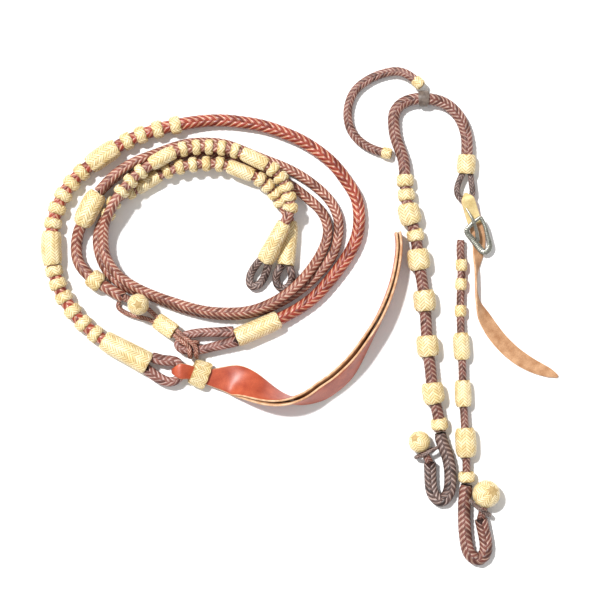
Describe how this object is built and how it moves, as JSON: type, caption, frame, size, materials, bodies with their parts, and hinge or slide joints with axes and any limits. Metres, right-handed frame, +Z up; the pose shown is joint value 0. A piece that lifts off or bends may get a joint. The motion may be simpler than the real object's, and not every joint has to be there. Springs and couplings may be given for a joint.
{
  "type": "romal reins with matching headstall",
  "caption": "Plaited leather romal reins joined at a yoke, with a buttoned connector, a leather popper and the matching one-ear headstall, laid out flat.",
  "frame": {"origin": "centre of the layout on the surface that it lies on", "axes": "+Z up from the surface, +X along the longer side towards the headstall, +Y towards the headstall's crown"},
  "size_m": [0.542, 0.5212, 0.0372],
  "materials": {
    "plait": "round plaited red-brown leather strands, waxed, lighter on their worn edges",
    "loop": "round plaited leather, worn to a grey brown",
    "rawhide": "cream rawhide woven in a fine herringbone, satin",
    "strap": "smooth red-brown grain side, tan flesh side and cut edges",
    "steel": "bright engraved buckle metal, lightly worn"
  },
  "bodies": {
    "right_cheek": {"billet_strap": "strap", "buckle_frame": "steel", "right_bit_eyelet": "loop", "right_bit_knob": "rawhide", "right_bit_loop": "loop", "right_cheek_cord": "plait", "right_cheek_long_button": "rawhide", "right_cheek_low_buttons": "rawhide", "right_cheek_upper_buttons": "rawhide"},
    "tongue": {"buckle_tongue": "steel"},
    "keeper": {"connector_keeper": "rawhide"},
    "reins": {"connector_loop": "loop", "rein_a_bit_loop": "loop", "rein_a_cord": "plait", "rein_a_end_button": "rawhide", "rein_a_long_button_1": "rawhide", "rein_a_long_button_2": "rawhide", "rein_a_small_buttons_1": "rawhide", "rein_a_small_buttons_2": "rawhide", "rein_a_small_buttons_3": "rawhide", "rein_b_bit_loop": "loop", "rein_b_cord": "plait", "rein_b_end_button": "rawhide", "rein_b_long_button_1": "rawhide", "rein_b_long_button_2": "rawhide", "rein_b_small_buttons_1": "rawhide", "rein_b_small_buttons_2": "rawhide", "rein_b_small_buttons_3": "rawhide", "rein_join_button": "rawhide", "yoke_button": "rawhide", "yoke_cord": "plait", "yoke_knob": "rawhide"},
    "headstall": {"crown_band": "strap", "crown_end_button": "rawhide", "crown_end_loop": "loop", "headstall_cord": "plait", "left_bit_eyelet": "loop", "left_bit_knob": "rawhide", "left_bit_loop": "loop", "left_cheek_long_button_1": "rawhide", "left_cheek_long_button_2": "rawhide", "left_cheek_long_button_3": "rawhide", "left_cheek_low_buttons": "rawhide", "left_cheek_upper_buttons": "rawhide"},
    "ear_loop": {"ear_loop_cord": "plait", "ear_loop_low_button": "rawhide", "ear_loop_top_button": "rawhide"},
    "popper": {"popper_button": "rawhide", "popper_leather": "strap"},
    "romal": {"romal_cord": "plait", "romal_end_button": "rawhide", "romal_end_loop": "loop", "romal_long_button_1": "rawhide", "romal_long_button_2": "rawhide", "romal_small_buttons_1": "rawhide", "romal_small_buttons_2": "rawhide", "romal_small_buttons_3": "rawhide", "romal_start_button": "rawhide", "romal_start_loop": "loop"}
  },
  "joints": [
    {"name": "romal_link", "type": "hinge", "parent": "romal", "child": "reins", "pos_m": [-0.1131, -0.0356, 0.0103], "axis": [1, 0, 0], "range_deg": [0, 20]},
    {"name": "keeper_slide", "type": "slide", "parent": "reins", "child": "keeper", "axis": [-0.8066, 0.5365, -0.2482], "range_m": [0, 0.003]},
    {"name": "popper_fold", "type": "hinge", "parent": "romal", "child": "popper", "pos_m": [-0.1245, -0.0579, 0.011], "axis": [0, -1, 0], "range_deg": [0, 14]},
    {"name": "headstall_lift", "type": "slide", "parent": "romal", "child": "headstall", "axis": [0, 0, 1], "range_m": [0, 0.25]},
    {"name": "ear_loop_fold", "type": "hinge", "parent": "headstall", "child": "ear_loop", "pos_m": [0.1269, 0.2399, 0.0145], "axis": [0.4324, 0.8966, 0.0954], "range_deg": [0, 60]},
    {"name": "cheek_fold", "type": "hinge", "parent": "headstall", "child": "right_cheek", "pos_m": [0.1749, 0.1218, 0.009], "axis": [-0.9447, -0.328, 0], "range_deg": [0, 25]},
    {"name": "buckle_tongue_turn", "type": "hinge", "parent": "right_cheek", "child": "tongue", "pos_m": [0.1855, 0.0778, 0.0126], "axis": [0.7567, -0.6537, 0], "range_deg": [0, 40]}
  ]
}
